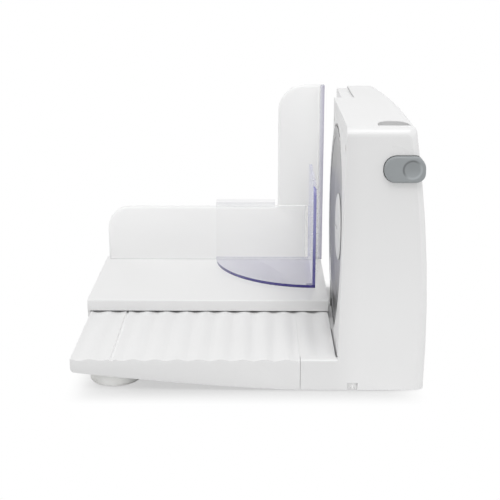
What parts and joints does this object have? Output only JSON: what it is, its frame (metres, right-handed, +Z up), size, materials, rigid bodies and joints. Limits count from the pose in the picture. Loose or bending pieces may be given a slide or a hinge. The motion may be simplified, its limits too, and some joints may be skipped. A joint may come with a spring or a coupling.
{
  "type": "food slicer",
  "caption": "Electric food slicer: motor housing with a serrated round blade, a fixed waved tray, a sliding carriage with back wall and clear pusher, a dial-set stop plate and a push switch.",
  "frame": {"origin": "on the table under the middle of the overall box", "axes": "+X from the tray to the motor side, +Y from the housing front to the user, +Z up"},
  "size_m": [0.312, 0.2944, 0.2315],
  "materials": {
    "white_plastic": "satin moulded white",
    "pale_plastic": "satin moulded pale grey",
    "grey_plastic": "matt moulded cool grey",
    "clear_plastic": "clear, tinted violet",
    "nylon": "natural nylon",
    "black_plastic": "matt black",
    "rubber": "soft black",
    "steel": "brushed",
    "brass": "sintered"
  },
  "bodies": {
    "housing": {"housing_shell": "white_plastic", "blade_plate": "white_plastic", "bottom_cover": "pale_plastic", "base_tray": "white_plastic", "cord_gland": "pale_plastic", "motor_can": "steel", "motor_strap_front": "steel", "motor_strap_rear": "steel", "worm_bush": "brass", "spindle_bush": "brass", "micro_switch": "black_plastic", "dial_bush": "nylon", "guide_bush_low": "nylon", "guide_bush_high": "nylon", "plate_screw_front_low": "steel", "plate_screw_back_low": "steel", "plate_screw_front_high": "steel", "plate_screw_back_high": "steel", "cover_screw_front": "steel", "cover_screw_rear": "steel", "tray_screw_front": "steel", "tray_screw_rear": "steel", "tray_foot_front": "pale_plastic", "tray_foot_rear": "pale_plastic", "housing_pad_front": "rubber", "housing_pad_middle": "rubber", "housing_pad_rear": "rubber"},
    "blade": {"blade": "steel", "blade_cap": "pale_plastic", "blade_spindle": "steel", "drive_gear": "nylon", "gear_collar": "steel"},
    "motor_rotor": {"worm_shaft": "steel"},
    "stop": {"stop_plate": "white_plastic", "stop_rack": "nylon", "guide_rod_low": "steel", "guide_rod_high": "steel"},
    "dial": {"thickness_dial": "grey_plastic", "pinion_shaft": "nylon"},
    "switch": {"switch_button": "grey_plastic"},
    "carriage": {"carriage_table": "white_plastic", "back_wall": "white_plastic", "thumb_guard": "clear_plastic", "guide_runner": "nylon", "wall_screw_left": "steel", "wall_screw_right": "steel"},
    "pusher": {"food_pusher": "clear_plastic"}
  },
  "joints": [
    {"name": "blade_spin", "type": "hinge", "parent": "housing", "child": "blade", "pos_m": [0.083, -0.02775, 0.118], "axis": [1, 0, 0], "continuous": true},
    {"name": "rotor_spin", "type": "hinge", "parent": "housing", "child": "motor_rotor", "pos_m": [0.125, -0.02775, 0.07], "axis": [0, 1, 0], "continuous": true},
    {"name": "stop_slide", "type": "slide", "parent": "housing", "child": "stop", "axis": [1, 0, 0], "range_m": [-0.0087, 0.0063]},
    {"name": "dial_turn", "type": "hinge", "parent": "housing", "child": "dial", "pos_m": [0.114, 0.12625, 0.118], "axis": [0, -1, 0], "range_deg": [-83.1, 60.2]},
    {"name": "switch_press", "type": "slide", "parent": "housing", "child": "switch", "axis": [0, 1, 0], "range_m": [0, 0.003], "stiffness_N_per_m": 600, "springref_m": -0.001},
    {"name": "carriage_slide", "type": "slide", "parent": "housing", "child": "carriage", "axis": [0, 1, 0], "range_m": [-0.12, 0]},
    {"name": "pusher_slide", "type": "slide", "parent": "carriage", "child": "pusher", "axis": [1, 0, 0], "range_m": [-0.09, 0.002]}
  ],
  "couplings": [
    {"joint": "rotor_spin", "follows": "blade_spin", "ratio": -40},
    {"joint": "dial_turn", "follows": "stop_slide", "rad_per_m": 166.67}
  ]
}
